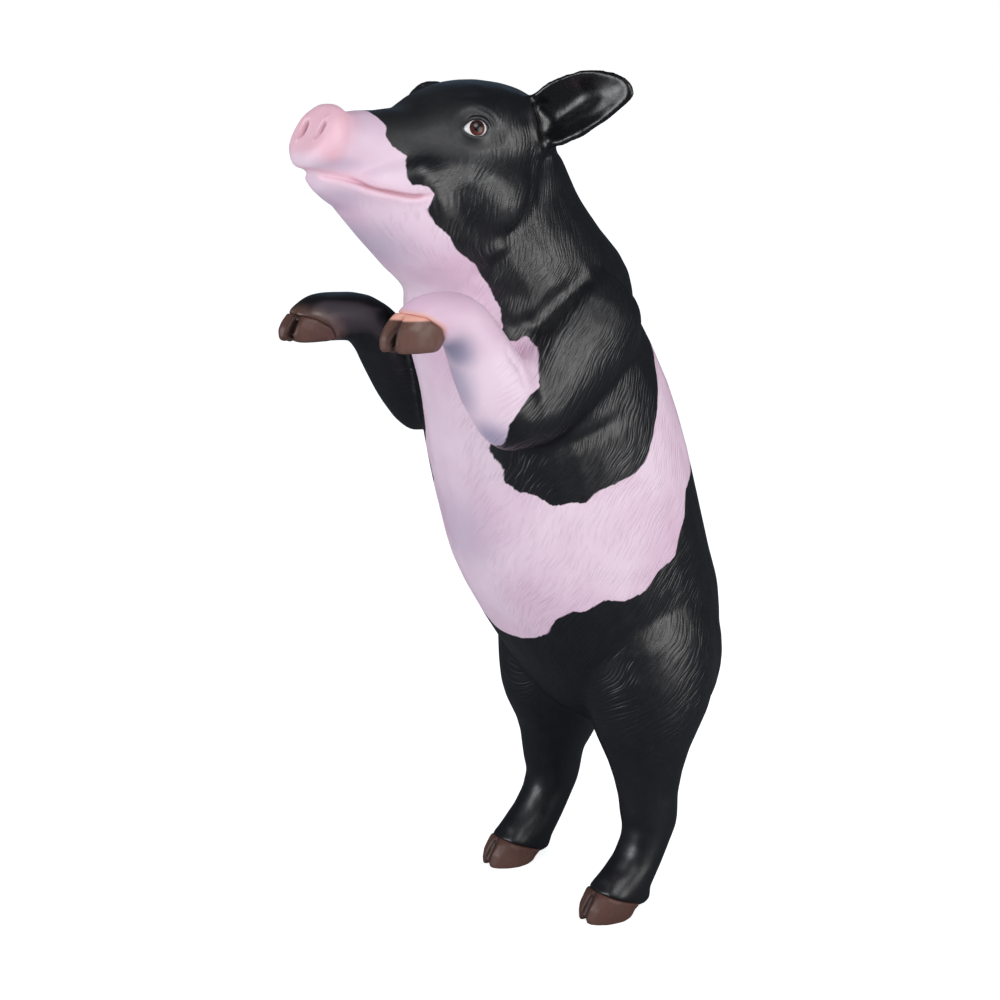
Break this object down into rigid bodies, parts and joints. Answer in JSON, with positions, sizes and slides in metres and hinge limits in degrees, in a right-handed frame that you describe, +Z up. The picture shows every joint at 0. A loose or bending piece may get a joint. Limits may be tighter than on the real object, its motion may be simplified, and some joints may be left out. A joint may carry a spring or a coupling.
{
  "type": "standing pig statue",
  "caption": "Life-size painted cast statue of a black and pink pig standing upright on its hind legs, head raised, fore legs bent before its chest as if over a fence.",
  "frame": {"origin": "centre of the bounding box, on the floor plane under the hind hooves", "axes": "+Z up, the pig faces -Y, its left side is +X"},
  "size_m": [0.3282, 0.5912, 1.0004],
  "materials": {
    "black_paint": "satin black paint over carved hair lines",
    "pink_paint": "satin pale pink paint over carved hair lines",
    "snout_paint": "satin warm pink paint",
    "hoof_paint": "semi-gloss brown paint",
    "eye_gloss": "high gloss painted eye under clear lacquer"
  },
  "bodies": {
    "root": {"trunk": "pink_paint", "neck": "black_paint", "head": "black_paint", "snout": "snout_paint", "tail": "black_paint", "ear_left": "black_paint", "ear_right": "black_paint", "eye_left": "eye_gloss", "eye_right": "eye_gloss", "leg_fore_left": "pink_paint", "leg_fore_right": "black_paint", "leg_hind_left": "black_paint", "leg_hind_right": "black_paint", "hoof_fore_left": "hoof_paint", "hoof_fore_right": "hoof_paint", "hoof_hind_left": "hoof_paint", "hoof_hind_right": "hoof_paint"}
  },
  "joints": []
}
